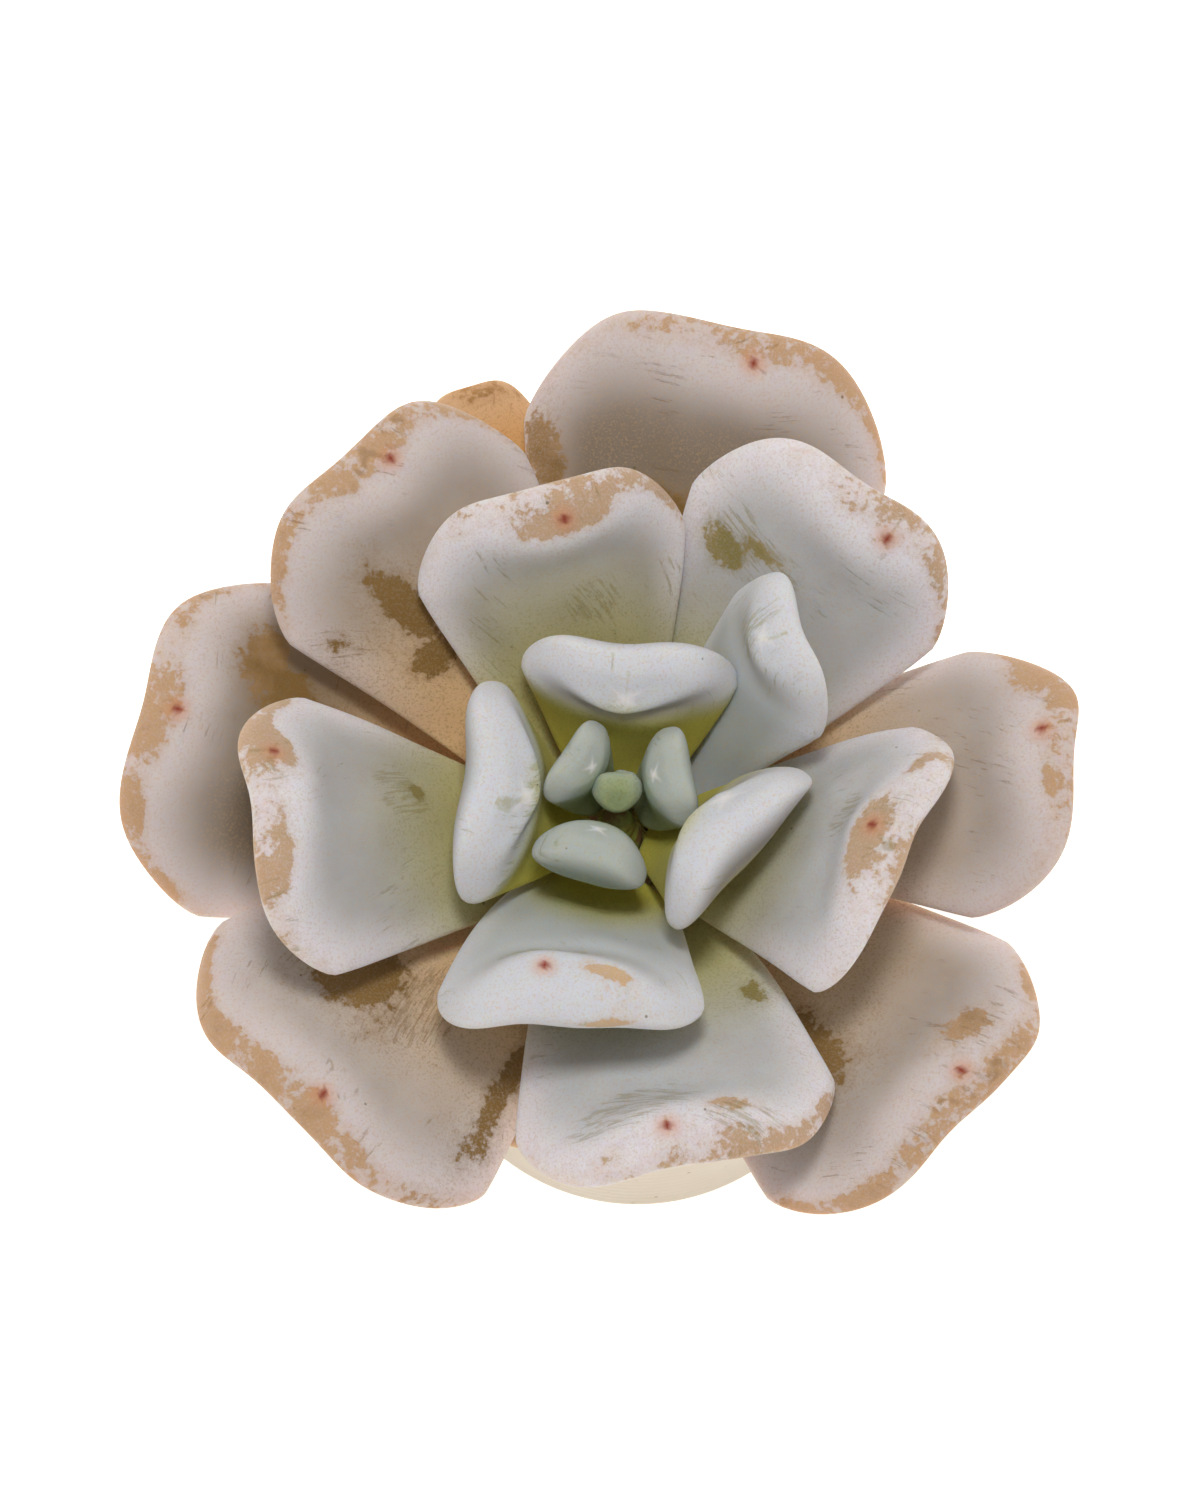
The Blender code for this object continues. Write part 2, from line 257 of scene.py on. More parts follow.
def leaf_place(leaf, across, along, through):
    """Leaf shares to millimetres: across and through run from -1 to 1, along from base 0 to end 1.

    side = across * half width, lift = through * half thickness + curl * half width * across^2 +
    relief, and run = length * along less the rounding of the end. The lean grows evenly with run:
    out = L (sin lean - sin base) / bend and up = L (cos base - cos lean) / bend.
    """
    widening = np.clip(along / WIDEST_AT, 0.0, 1.0) ** leaf["narrowness"]
    widening = blend(BASE_WIDTH, 1.0, widening)
    narrowing = blend(1.0, END_WIDTH, ease((along - WIDEST_AT) / (1.0 - WIDEST_AT)))
    half_width = leaf["width"] / 2 * widening * narrowing
    plump = HEAD[group(leaf)] * ease((along - HEAD_FROM) / HEAD_OVER)
    half_thick = leaf["thickness"] / 2 * (blend(BASE_THICKNESS, 1.0, ease(along / WIDEST_AT)) + plump)
    half_thick = half_thick * blend(1.0, EDGE_THICKNESS, across ** 2)
    curl = blend(BASE_CHANNEL, END_ARCH, ease(along))
    side = across * half_width
    lift = through * half_thick + curl * half_width * across ** 2 + relief(leaf, across, along, through)
    end_line = END_HOLLOW * (1.0 - across ** 2) + CORNER_SETBACK * across ** 4
    run = leaf["length"] * along - leaf["width"] * end_line * along ** 3
    run = run - END_OVERHANG * leaf["thickness"] / 2 * through * along ** 3
    bevel = END_BEVEL * np.exp(-((across - MUCRO_AT.get(leaf["name"], 0.0)) / BEVEL_WIDE) ** 2)
    run = run - bevel * leaf["thickness"] * ease(through) * along ** 6
    turn = math.radians(leaf["turn"]) * along
    run = run - side * np.sin(turn)
    side = side * np.cos(turn) + leaf["length"] * turn * along / 2

    base = math.radians(leaf["base_lean"])
    bend = math.radians(leaf["end_lean"] - leaf["base_lean"])
    lean = base + bend * run / leaf["length"]
    out = leaf["length"] * (np.sin(lean) - math.sin(base)) / bend
    up = leaf["length"] * (math.cos(base) - np.cos(lean)) / bend
    roll = math.radians(leaf["roll"]) * ease(along)
    azimuth = math.radians(leaf["azimuth"])
    outward = np.array([math.cos(azimuth), math.sin(azimuth), 0.0])
    sideways = np.array([-math.sin(azimuth), math.cos(azimuth), 0.0])
    upward = np.array([0.0, 0.0, 1.0])
    face = np.cos(lean)[..., None] * upward - np.sin(lean)[..., None] * outward
    cos_roll, sin_roll = np.cos(roll)[..., None], np.sin(roll)[..., None]
    rolled_side = sideways * cos_roll + face * sin_roll
    rolled_face = face * cos_roll - sideways * sin_roll

    base_half = leaf["thickness"] / 2 * BASE_THICKNESS
    seat_out = stem_radius(leaf["seat"]) + SEAT_EASE * base_half * math.sin(base) + TOUCH
    seat_out -= ROUNDING_DRAW * leaf["length"]
    point = (seat_out + out)[..., None] * outward + (leaf["seat"] + up)[..., None] * upward
    point = point + rolled_side * side[..., None] + rolled_face * lift[..., None]
    return point + np.array([PLANT_OFF_AXIS, 0.0, soil_level])


# %% [markdown]
# ## What makes it look grown
# A real leaf is never a smooth pillow. Its face swells and dips by a few tenths of a millimetre and
# sinks into a shallow dish behind the end. The end carries a soft keel, and the keel rises to a tiny
# blunt point, the mucro. These are small enough to add as one relief to the leaf's thickness. Each
# leaf's dips start from its own number, and marks shrink with the leaf where it is narrow.

# %% Relief of a leaf
DIP = 0.22
KEEL = {"bud": 0.35, "inner": 0.75, "middle": 0.45, "outer": 0.3, "hidden": 0.0}
KEEL_ALONG, KEEL_LONG, KEEL_WIDE = 0.93, 0.07, 0.55
DISH = {"bud": 0.1, "inner": 0.5, "middle": 0.65, "outer": 0.6, "hidden": 0.0}
DISH_ALONG, DISH_LONG, DISH_WIDE = 0.8, 0.09, 0.75
MUCRO_HIGH = {"bud": 0.35, "inner": 0.45, "middle": 0.35, "outer": 0.3, "hidden": 0.0}
MUCRO_WIDE, MUCRO_ALONG = 1.1, 0.98
FULL_MARKS_WIDTH = 20.0


def leaf_number(leaf):
    """The leaf's place in the plan, counted from 0."""
    return [other["name"] for other in LEAVES].index(leaf["name"])


def mark_size(leaf):
    """1 on a leaf of FULL_MARKS_WIDTH or wider, and its share of that width on a narrower one."""
    return min(leaf["width"] / FULL_MARKS_WIDTH, 1.0)


def from_mucro(leaf, across, along):
    """Sideways and lengthwise distance from the leaf's mucro, in the flat leaf's millimetres."""
    side = (across - MUCRO_AT.get(leaf["name"], 0.0)) * leaf["width"] / 2
    return side, (along - MUCRO_ALONG) * leaf["length"]


def relief(leaf, across, along, through):
    """Waves all over, and on the face the keel + the mucro - the dish, in millimetres.

    The waves are a product of two sines and a third sine, and each of the others is a bell,
    height * exp(-distance^2), whose distance is counted in its own length and width.
    """
    start = leaf_number(leaf) * 1.7
    x, y = across * leaf["width"] / 2, along * leaf["length"]
    waves = np.sin(0.33 * x + 0.21 * y + start) * np.sin(0.27 * y - 0.15 * x + 2.1 * start)
    waves = waves + 0.5 * np.sin(0.62 * x - 0.35 * y + 3.3 * start)
    face = ease((through + 0.2) / 0.8)
    keel = KEEL[group(leaf)] * np.exp(-((along - KEEL_ALONG) / KEEL_LONG) ** 2)
    keel = keel * np.exp(-(across / KEEL_WIDE) ** 2)
    size = mark_size(leaf)
    near = np.hypot(*from_mucro(leaf, across, along)) / (MUCRO_WIDE * size)
    mucro = MUCRO_HIGH[group(leaf)] * np.exp(-near ** 2)
    dish = np.exp(-((along - DISH_ALONG) / DISH_LONG) ** 2 - (across / DISH_WIDE) ** 2)
    dish = DISH[group(leaf)] * dish
    away_from_base = ease(along / 0.3)
    return DIP * size * waves * away_from_base + face * (keel + mucro - dish) * size


# %% [markdown]
# ## The pebble grid
# A leaf is blunt and plump, with a rounded margin all the way round, so its rings run round the
# outline and shrink to a pole in the middle of its face and another in the middle of its back. Both
# the outline and the cut through the thickness are superellipses, |a|^n + |b|^n = 1: a high power
# gives flat faces with a tight round edge, and a low power a softer pebble.

# %% Leaf shares on the pebble grid
OUTLINE_POWER = 3.8
SIDE_POWER = 2.5
END_POWER = 3.0
RINGS, AROUND = 84, 176


def superellipse_reach(angle, power):
    """How far the curve |cos|^n + |sin|^n = 1 reaches in each direction: the sum to the power -1/n."""
    return (np.abs(np.cos(angle)) ** power + np.abs(np.sin(angle)) ** power) ** (-1.0 / power)


def pebble(rings, around):
    """across, along, through and how far out the point lies, for every grid point.

    cut runs from the face's pole to the back's, and turn runs round the outline. With r for the
    reach of each curve: radius = sin cut * r(cut), through = cos cut * r(cut), across = radius *
    cos turn * r(turn), and along = (1 + radius * sin turn * r(turn)) / 2.
    """
    cut = np.linspace(0.0, math.pi, rings + 2)[1:-1]
    turn = np.linspace(0.0, math.tau, around, endpoint=False)
    cut, turn = np.meshgrid(cut, turn, indexing="ij")
    cut = np.concatenate([[0.0], cut.ravel(), [math.pi]])
    turn = np.concatenate([[0.0], turn.ravel(), [0.0]])
    power = blend(SIDE_POWER, END_POWER, ease(np.sin(turn)))
    reach = superellipse_reach(cut, power)
    radius = np.sin(cut) * reach
    outline = superellipse_reach(turn, OUTLINE_POWER)
    across = radius * np.cos(turn) * outline
    along = (1.0 + radius * np.sin(turn) * outline) / 2
    return across, along, np.cos(cut) * reach, radius


pebble_quads, pebble_caps = ring_faces(RINGS, AROUND)
print("leaf skin:", RINGS * AROUND + 2, "points")

# %% [markdown]
# ## Leaf finish: waxy skin under powdery bloom
# The flesh of the leaf is translucent green, tan and ochre where the sun has stressed it. Over it
# lies bloom, a matt bluish-white wax a few hundredths of a millimetre thick. Fingers, water and
# neighbours rub the bloom off in patches with ragged edges, and there the skin shows glossier and
# darker. Deep in the rosette light passes through several leaves and comes out yellow-green, and
# the leaves lie in shade: this glow and shade are painted into the colour, growing with depth.
# The wear, the depth, the margin, the mucro and the scuffs are values on the leaf's own points, and
# fine noise breaks them up, so a patch keeps its place but has a natural edge.

# %% Bloomed leaf material
# Per group of leaves: the bloom colours, margin, bare skin tan and olive, a painted glow colour for light
# through the leaves and shade deep in the rosette, and how strongly that glow is laid on. The buds' darker
# green and the outer leaves' darker, warmer bloom are partly their own colour and partly painted shade, the
# buds sitting deep in the centre and the outer leaves lying low.
BLOOM = {
    "bud": dict(cool="#8b9a93", warm="#88937f", margin="#b9bfba", tan="#b9a878", olive="#7d8440",
                painted_glow="#929e6c", depth=0.9),
    "inner": dict(cool="#bac2c5", warm="#b5b8b6", margin="#dcdde3", tan="#cfae86", olive="#9a9634",
                  painted_glow="#bfb446", depth=1.0),
    "middle": dict(cool="#c3c8ca", warm="#b6b0ad", margin="#ece6ea", tan="#c4a381", olive="#8f8044",
                   painted_glow="#c0b66e", depth=0.9),
    "outer": dict(cool="#c1bab4", warm="#af9f93", margin="#ddd2d1", tan="#c6a078", olive="#86652e",
                  painted_glow="#e6bd88", depth=0.9),
    "hidden": dict(cool="#cbb08c", warm="#cda676", margin="#d6b898", tan="#c69c68", olive="#9c7036",
                   painted_glow="#d4953c", depth=0.8),
}
# The taupe mark is painted shade towards a leaf's base, and the pale mark is the young mucro's colour with a
# painted highlight on its ridges
MARKS = dict(taupe_shade="#80705c", speck="#6b5f3c", pale_and_highlight="#f1ebea", halo="#d58f62", mucro="#8e3424")
RAG_SIZE, PATCH_SIZE, GRAIN_SIZE, BLOOM_THICK = 0.7, 4.0, 0.24, 0.06
SPECK_PITCH, SPECK_SHARE = 5.2, 0.024
SCRATCH_LONG, SCRATCH_WIDE, SCRATCHED_AREA = 3.4, 0.42, 6.0
MIX_A, MIX_B, MIX_RESULT = 6, 7, 2
LEAF_NOTES = ("wear", "depth", "rim", "mucro", "halo", "pale_and_highlight", "crease", "moss", "taupe_shade",
              "scuff")


def bloomed_leaf(name, tint):
    """Powdery bloom over waxy skin: bloom 0.85 rough, skin 0.52 rough, light through the thick flesh.

    The colours are laid over each other in the order of the list, each by its own share. Some are painted
    light: a glow and shade deep in the rosette, shade towards some bases, and a highlight on young ridges.
    """
    made, tree, place = blank_finish(name)
    wear, depth, rim, mucro, halo, pale_and_highlight, crease, moss, taupe_shade, scuff = (
        node(tree, "ShaderNodeAttribute", attribute_name=key).outputs["Fac"] for key in LEAF_NOTES)
    flat = node(tree, "ShaderNodeAttribute", attribute_name="flat_mm").outputs["Vector"]
    patch, rag, grain = (
        node(tree, "ShaderNodeTexNoise", {"Vector": place, "Scale": per_metre(size), "Detail": detail,
                                          "Roughness": 0.62}).outputs["Fac"]
        for size, detail in ((PATCH_SIZE, 4.0), (RAG_SIZE, 6.0), (GRAIN_SIZE, 2.0)))

    # Bare skin starts where the wear, pushed about by the two noises, passes a limit
    pushed = node(tree, "ShaderNodeMath", {0: patch, 1: 0.9, 2: wear}, operation="MULTIPLY_ADD").outputs[0]
    pushed = node(tree, "ShaderNodeMath", {0: rag, 1: 0.75, 2: pushed}, operation="MULTIPLY_ADD").outputs[0]
    bare = node(tree, "ShaderNodeMapRange", {"Value": pushed, "From Min": 1.29, "From Max": 1.38,
                                             "To Max": 0.95}).outputs[0]
    left = node(tree, "ShaderNodeMapRange", {"Value": grain, "From Min": 0.50, "From Max": 0.62,
                                             "To Min": 1.0, "To Max": 0.55}).outputs[0]
    bare = node(tree, "ShaderNodeMath", {0: bare, 1: left}, operation="MULTIPLY").outputs[0]
    thin = node(tree, "ShaderNodeMapRange", {"Value": pushed, "From Min": 1.0, "From Max": 1.45,
                                             "To Max": 0.4}).outputs[0]

    # Scratches are long thin marks in the leaf's own flat millimetres, kept to a few areas
    stretched = node(tree, "ShaderNodeMapping", {"Vector": flat, "Rotation": (0.0, 0.0, 0.6), "Scale": (
        1.0 / SCRATCH_LONG, 1.0 / SCRATCH_WIDE, 1.0)}).outputs[0]
    streak = node(tree, "ShaderNodeTexNoise", {"Vector": stretched, "Scale": 1.0, "Detail": 5.0,
                                               "Roughness": 0.7}).outputs["Fac"]
    streak = node(tree, "ShaderNodeMath", {0: scuff, 1: 0.09, 2: streak}, operation="MULTIPLY_ADD").outputs[0]
    streak = node(tree, "ShaderNodeMapRange", {"Value": streak, "From Min": 0.58,
                                               "From Max": 0.64}).outputs[0]
    area = node(tree, "ShaderNodeTexNoise", {"Vector": place, "Scale": per_metre(SCRATCHED_AREA),
                                             "Detail": 1.0}).outputs["Fac"]
    area = node(tree, "ShaderNodeMapRange", {"Value": area, "From Min": 0.55, "From Max": 0.61}).outputs[0]
    area = node(tree, "ShaderNodeMath", {0: area, 1: scuff}, operation="MAXIMUM").outputs[0]
    scratch = node(tree, "ShaderNodeMath", {0: streak, 1: area}, operation="MULTIPLY").outputs[0]
    broken = node(tree, "ShaderNodeMath", {0: rag, 1: crease}, operation="MULTIPLY").outputs[0]
    broken = node(tree, "ShaderNodeMapRange", {"Value": broken, "From Min": 0.22,
                                               "From Max": 0.5}).outputs[0]
    scratch = node(tree, "ShaderNodeMath", {0: scratch, 1: broken}, operation="MAXIMUM").outputs[0]
    pores = node(tree, "ShaderNodeMapRange", {"Value": grain, "From Min": 0.50, "From Max": 0.70,
                                              "To Max": 0.42}).outputs[0]
    dots = node(tree, "ShaderNodeTexVoronoi", {"Vector": place, "Scale": per_metre(SPECK_PITCH)})
    specks = node(tree, "ShaderNodeMapRange", {"Value": dots.outputs["Distance"], "From Min": SPECK_SHARE,
                                               "From Max": SPECK_SHARE * 1.6, "To Min": 0.7,
                                               "To Max": 0.0}).outputs[0]
    # Painted glow and shade: deeper in the rosette the colour turns to the glow tint, for light through the
    # leaves and the shade between them
    deep = node(tree, "ShaderNodeMath", {0: depth, 1: tint["depth"]}, operation="MULTIPLY").outputs[0]
    pink = node(tree, "ShaderNodeMath", {0: rim, 1: 0.8}, operation="MULTIPLY").outputs[0]
    marked = node(tree, "ShaderNodeMath", {0: scratch, 1: 0.4}, operation="MULTIPLY").outputs[0]
    # Bare skin turns from tan to olive with noise and olive spots, and deeper in the rosette as painted shade
    inward = node(tree, "ShaderNodeMath", {0: patch, 1: 0.6, 2: depth}, operation="MULTIPLY_ADD").outputs[0]
    inward = node(tree, "ShaderNodeMath", {0: inward, 1: moss}, operation="ADD").outputs[0]
    inward = node(tree, "ShaderNodeMapRange", {"Value": inward, "From Min": 0.36,
                                               "From Max": 0.75}).outputs[0]

    skin_colour = node(tree, "ShaderNodeMix", {0: inward, MIX_A: linear(tint["tan"]),
                                               MIX_B: linear(tint["olive"])},
                       data_type="RGBA").outputs[MIX_RESULT]
    shade = linear(tint["cool"])
    for share, colour in ((patch, linear(tint["warm"])), (taupe_shade, linear(MARKS["taupe_shade"])),
                          (pink, linear(tint["margin"])), (deep, linear(tint["painted_glow"])),
                          (thin, skin_colour), (pores, skin_colour), (bare, skin_colour),
                          (marked, linear(tint["olive"])), (specks, linear(MARKS["speck"])),
                          (pale_and_highlight, linear(MARKS["pale_and_highlight"])), (halo, linear(MARKS["halo"])),
                          (mucro, linear(MARKS["mucro"]))):
        shade = node(tree, "ShaderNodeMix", {0: share, MIX_A: shade, MIX_B: colour},
                     data_type="RGBA").outputs[MIX_RESULT]

    # The bloom's own thickness is the height that the light catches at a patch's edge
    height = node(tree, "ShaderNodeMath", {0: bare, 1: -1.0, 2: 1.0}, operation="MULTIPLY_ADD").outputs[0]
    height = node(tree, "ShaderNodeMath", {0: grain, 1: 0.9, 2: height}, operation="MULTIPLY_ADD").outputs[0]
    height = node(tree, "ShaderNodeMath", {0: scratch, 1: -0.7, 2: height},
                  operation="MULTIPLY_ADD").outputs[0]
    height = node(tree, "ShaderNodeMath", {0: rag, 1: 0.8, 2: height}, operation="MULTIPLY_ADD").outputs[0]
    bump = node(tree, "ShaderNodeBump", {"Height": height, "Distance": BLOOM_THICK * MM, "Strength": 0.8})
    rough = node(tree, "ShaderNodeMapRange", {"Value": bare, "To Min": 0.85, "To Max": 0.52}).outputs[0]
    shader = node(tree, "ShaderNodeBsdfPrincipled", {
        "Base Color": shade, "Roughness": rough, "Normal": bump.outputs[0], "IOR": 1.42,
        "Specular IOR Level": 0.3, "Subsurface Weight": 0.6,
        "Subsurface Radius": (1.0, 0.60, 0.25), "Subsurface Scale": 2.6 * MM,
        "Sheen Weight": 0.08, "Sheen Roughness": 0.6})
    node(tree, "ShaderNodeOutputMaterial", {"Surface": shader.outputs[0]})
    return made


leaf_finishes = {key: bloomed_leaf("powdery_bloom_" + key, tint) for key, tint in BLOOM.items()}
print("finishes:", sorted(leaf_finishes))

# %% [markdown]
# ## Wear, and painted glow and shade by depth
# A leaf rubs most on its end and its corners, and where a neighbour leans on it. Each spot below is
# given in shares of the leaf: its place across and along, how far it reaches, and how strong it is.
# A spot can also be olive, where the bare skin is greener, and a leaf can be painted a darker taupe
# towards its base, as shade where its face turns away from the light above.
# Depth says how far inside the rosette a point lies: it falls from 1 to 0 between a near and a far
# distance from the stem's axis, and on buds and most inner leaves it also rises below the end. With
# it a glow of light through the leaves and the shade deep in the rosette are painted into the colour.

# %% Where each leaf gets painted glow and shade, painted taupe shade, and wear
# Near and far distances from the stem's axis over which the painted glow and shade fade out
DEEP = {"bud": (0.5, 4.5), "inner": (5.0, 9.5), "middle": (12.0, 26.5), "outer": (15.0, 36.5),
        "hidden": (35.0, 52.0), "inner_front": (7.0, 13.5), "inner_back_right": (4.0, 8.5),
        "middle_right": (9.0, 21.0), "hidden_front": (6.0, 22.0)}
# Below an inner leaf's end the painted shade grows from the first share along the leaf to the second
SHADED_FROM, SHADED_TO = 0.83, 0.58
# Painted shade: how strongly a darker taupe is painted towards the base of each leaf whose face turns from
# the light above
TAUPE_SHADE = {"outer_back": 0.9, "outer_left": 0.9, "outer_back_left": 0.35, "outer_front_right": 0.3,
         "middle_back": 0.4, "outer_right": 0.15, "middle_left": 0.25, "middle_back_right": 0.15,
         "inner_right": 0.5, "inner_back": 0.5}
# Worn end band: strength, and how much more it is on the side that across counts up to
END_WEAR = {"middle_left": (0.46, -0.1), "middle_right": (0.25, 0.1), "middle_back": (0.46, -0.2),
            "middle_back_right": (0.42, -0.2), "middle_front": (0.43, 0.15), "outer_back_left": (0.56, 0.0),
            "outer_back": (0.52, -0.2), "outer_left": (0.54, 0.1), "outer_right": (0.47, 0.2),
            "outer_front_left": (0.56, -0.1), "outer_front_right": (0.56, 0.0), "hidden_back": (0.4, 0.0)}
# Spots: place across and along, reach across and along, strength, and how olive they are
SPOTS = {
    "inner_front": [(0.35, 0.96, 0.25, 0.03, 0.85, 0.0)],
    "middle_left": [(-0.6, 0.96, 0.3, 0.04, 0.9, 0.0), (0.45, 0.98, 0.35, 0.03, 0.8, 0.0),
                    (-0.35, 0.5, 0.09, 0.03, 0.8, 0.3)],
    "middle_right": [(-0.15, 0.96, 0.4, 0.06, 0.9, 0.0), (0.6, 0.95, 0.25, 0.03, 0.7, 0.0)],
    "middle_back": [(-0.1, 0.97, 0.5, 0.04, 0.85, 0.0)],
    "middle_back_right": [(0.6, 0.68, 0.22, 0.06, 0.9, 0.5), (0.3, 0.74, 0.25, 0.03, 0.7, 0.4)],
    "middle_front": [(0.35, 0.92, 0.22, 0.04, 0.7, 0.0), (0.75, 0.45, 0.15, 0.08, 0.6, 0.3)],
    "outer_back_left": [(0.33, 0.66, 0.16, 0.13, 0.95, 0.5), (0.4, 0.52, 0.3, 0.06, 0.8, 0.5),
                        (0.8, 0.68, 0.12, 0.05, 0.6, 0.3)],
    "outer_back": [(0.85, 0.68, 0.15, 0.12, 0.85, 0.4), (0.05, 0.64, 0.35, 0.05, 0.75, 0.4)],
    "outer_left": [(-0.4, 0.78, 0.28, 0.08, 0.8, 0.4), (-0.2, 0.7, 0.35, 0.1, 0.8, 0.5)],
    "outer_right": [(0.8, 0.92, 0.25, 0.07, 0.85, 0.0), (-0.1, 0.99, 0.4, 0.02, 0.6, 0.0)],
    "outer_front_left": [(-0.28, 0.64, 0.33, 0.13, 0.95, 0.6), (0.78, 0.55, 0.12, 0.25, 0.75, 0.5)],
    "outer_front_right": [(-0.3, 0.6, 0.28, 0.15, 0.95, 0.7), (0.4, 0.9, 0.25, 0.06, 0.75, 0.2)],
}


def worn_share(leaf, across, along, radius):
    """Wear and olive: the end band and the spots, the strongest winning.

    Each spot is s * exp(-(da/ra)^2 - (dl/rl)^2), and its olive fades half as fast.
    """
    strength, lean = END_WEAR.get(leaf["name"], (0.0, 0.0))
    wear = (strength + lean * across) * ease((radius - 0.90) / 0.09) * ease((along - 0.66) / 0.2)
    moss = np.zeros_like(wear)
    for spot_across, spot_along, reach_across, reach_along, strength, olive in SPOTS.get(leaf["name"], ()):
        away = ((across - spot_across) / reach_across) ** 2 + ((along - spot_along) / reach_along) ** 2
        wear = np.maximum(wear, strength * np.exp(-away))
        moss = np.maximum(moss, olive * np.exp(-away / 2))
    return wear, moss


def depth_share(leaf, along, points):
    """The share of painted glow and shade: 1 nearer to the stem's axis than near, easing to 0 at far, and 1
    below the end of a bud or inner leaf without distances of its own, where the face turns down into shade.
    """
    near, far = DEEP.get(leaf["name"], DEEP[group(leaf)])
    from_axis = np.hypot(points[:, 0] - PLANT_OFF_AXIS, points[:, 1])
    depth = 1.0 - ease((from_axis - near) / (far - near))
    if group(leaf) in ("bud", "inner") and leaf["name"] not in DEEP:
        depth = np.maximum(depth, ease((along - SHADED_FROM) / (SHADED_TO - SHADED_FROM)))
    return depth


print("worn leaves:", sorted(SPOTS))

# %% [markdown]
# ## Scuffs and folds
# Something that brushes past leaves a cluster of fine parallel scratches in the bloom. The material
# draws the scratches, so a leaf only has to say where its clusters are and which way they run. Very
# fine folds also run out from the mucro, where the end dried a little and drew together.

# %% Clusters of scratches, and folds
# The direction in degrees, then for each cluster its place and its reach across and along
SCUFFS = {
    "inner_left": (60, [(0.0, 0.92, 0.3, 0.06)]),
    "inner_front": (60, [(-0.2, 0.85, 0.35, 0.05)]),
    "inner_back_right": (80, [(0.2, 0.9, 0.3, 0.1)]),
    "middle_left": (70, [(-0.3, 0.55, 0.25, 0.09)]),
    "middle_right": (80, [(0.1, 0.8, 0.18, 0.06)]),
    "middle_back": (65, [(-0.2, 0.66, 0.2, 0.08)]),
    "middle_back_right": (10, [(0.35, 0.72, 0.35, 0.07)]),
    "middle_front": (24, [(-0.25, 0.86, 0.4, 0.08), (0.38, 0.95, 0.25, 0.04)]),
    "outer_front_left": (75, [(0.1, 0.55, 0.2, 0.15)]),
}
UNSCUFFED_TURN, LEAF_APART = 63, 20.0
CREASES = {"bud": 0, "inner": 2, "middle": 4, "outer": 3, "hidden": 0}
CREASE_WIDE = 0.22


def scuffed(leaf, across, along, through):
    """The clusters, and the flat leaf's millimetres turned so that the scratches run along the first.

    With d for the distance counted in reaches, a cluster is 1 where d^2 < 0.6 and 0 where d^2 > 1.6.
    The turn is x cos w + y sin w, y cos w - x sin w, and every leaf is moved on by LEAF_APART.
    """
    degrees, clusters = SCUFFS.get(leaf["name"], (UNSCUFFED_TURN * leaf_number(leaf), []))
    x, y, way = across * leaf["width"] / 2, along * leaf["length"], math.radians(degrees)
    scuff = np.zeros_like(x)
    for place_across, place_along, reach_across, reach_along in clusters:
        away = ((across - place_across) / reach_across) ** 2 + ((along - place_along) / reach_along) ** 2
        scuff = np.maximum(scuff, ease(1.6 - away))
    turned_x = x * math.cos(way) + y * math.sin(way)
    turned_y = y * math.cos(way) - x * math.sin(way)
    return scuff, np.stack([turned_x, turned_y, through], axis=-1) + LEAF_APART * leaf_number(leaf)


def creases(leaf, across, along):
    """Fine folds that run out from the mucro: exp(-(d / width)^2), d being the distance to a wavy ray."""
    x, y = from_mucro(leaf, across, along)
    reach, angle = np.hypot(x, y), np.arctan2(y, x)
    number = leaf_number(leaf)
    field = np.zeros_like(reach)
    for fold in range(CREASES[group(leaf)]):
        way = 1.7 * number + 2.4 * fold
        wave = 0.25 * np.sin(1.3 * reach + way)
        apart = angle - way - wave
        length = (3.0 + 2.5 * math.sin(5.0 * way)) * mark_size(leaf)
        line = np.exp(-(reach * np.sin(apart) / CREASE_WIDE) ** 2) * (np.cos(apart) > 0)
        field = np.maximum(field, line * ease((length - reach) / 1.5))
    return field


print("scuffed leaves:", sorted(SCUFFS))

# %% [markdown]
# ## The mucro, and every value on a point
# On sun-stressed leaves the mucro is a red-brown dot in a warm halo. On the youngest ones it is a pale
# dot, and the two ridges that run back from it in a shallow V carry a painted highlight. These marks
# are round in space, so their distances are measured between points in space and not in shares of the leaf.

# %% Values on the leaf's points
PALE_MUCRO = ("inner_left", "inner_right", "inner_back", "inner_back_right")
MUCRO_DOT, MUCRO_HALO, PALE_DOT = 0.45, 2.0, 1.3
RIDGE_LONG, RIDGE_WIDE, RIDGE_SOFT, RIDGE_BEND = 2.6, 0.24, 0.08, 0.5
# Where the painted shade band under an inner leaf's end begins, and where the end begins, in shares along the
# leaf
UNDER_END_SHADE_STARTS, END_STARTS = 0.74, 0.955


def mucro_marks(leaf, across, along, through, points):
    """The dot, the halo, and the pale dot with the painted highlight on its V of ridges, each from 1 at the
    mucro to 0 where it ends.

    The V is exp(-((inward + bend * aside) / wide)^2), where aside is the sideways distance from the
    mucro and inward = sqrt(distance^2 - aside^2), which is negative beyond the end's edge.
    """
    size = mark_size(leaf)
    flat_distance = np.hypot(*from_mucro(leaf, across, along))
    tip = points[np.argmin(flat_distance + 100.0 * (through < 0.1))]
    away = np.linalg.norm(points - tip, axis=1)
    aside = np.abs(from_mucro(leaf, across, along)[0])
    inward = np.sqrt(np.maximum(away ** 2 - aside ** 2, 0.0)) * np.where(along < END_STARTS, 1.0, -1.0)
    ridge = np.exp(-((inward + RIDGE_BEND * aside) / (RIDGE_WIDE * size + RIDGE_SOFT)) ** 2)
    ridge = ridge * ease(1.0 - aside / (RIDGE_LONG * size))
    ridge = np.maximum(ridge, ease(1.0 - away / (PALE_DOT * size)))
    return ease(1.5 - away / (MUCRO_DOT * size)), ease(1.0 - away / (MUCRO_HALO * size)), ridge


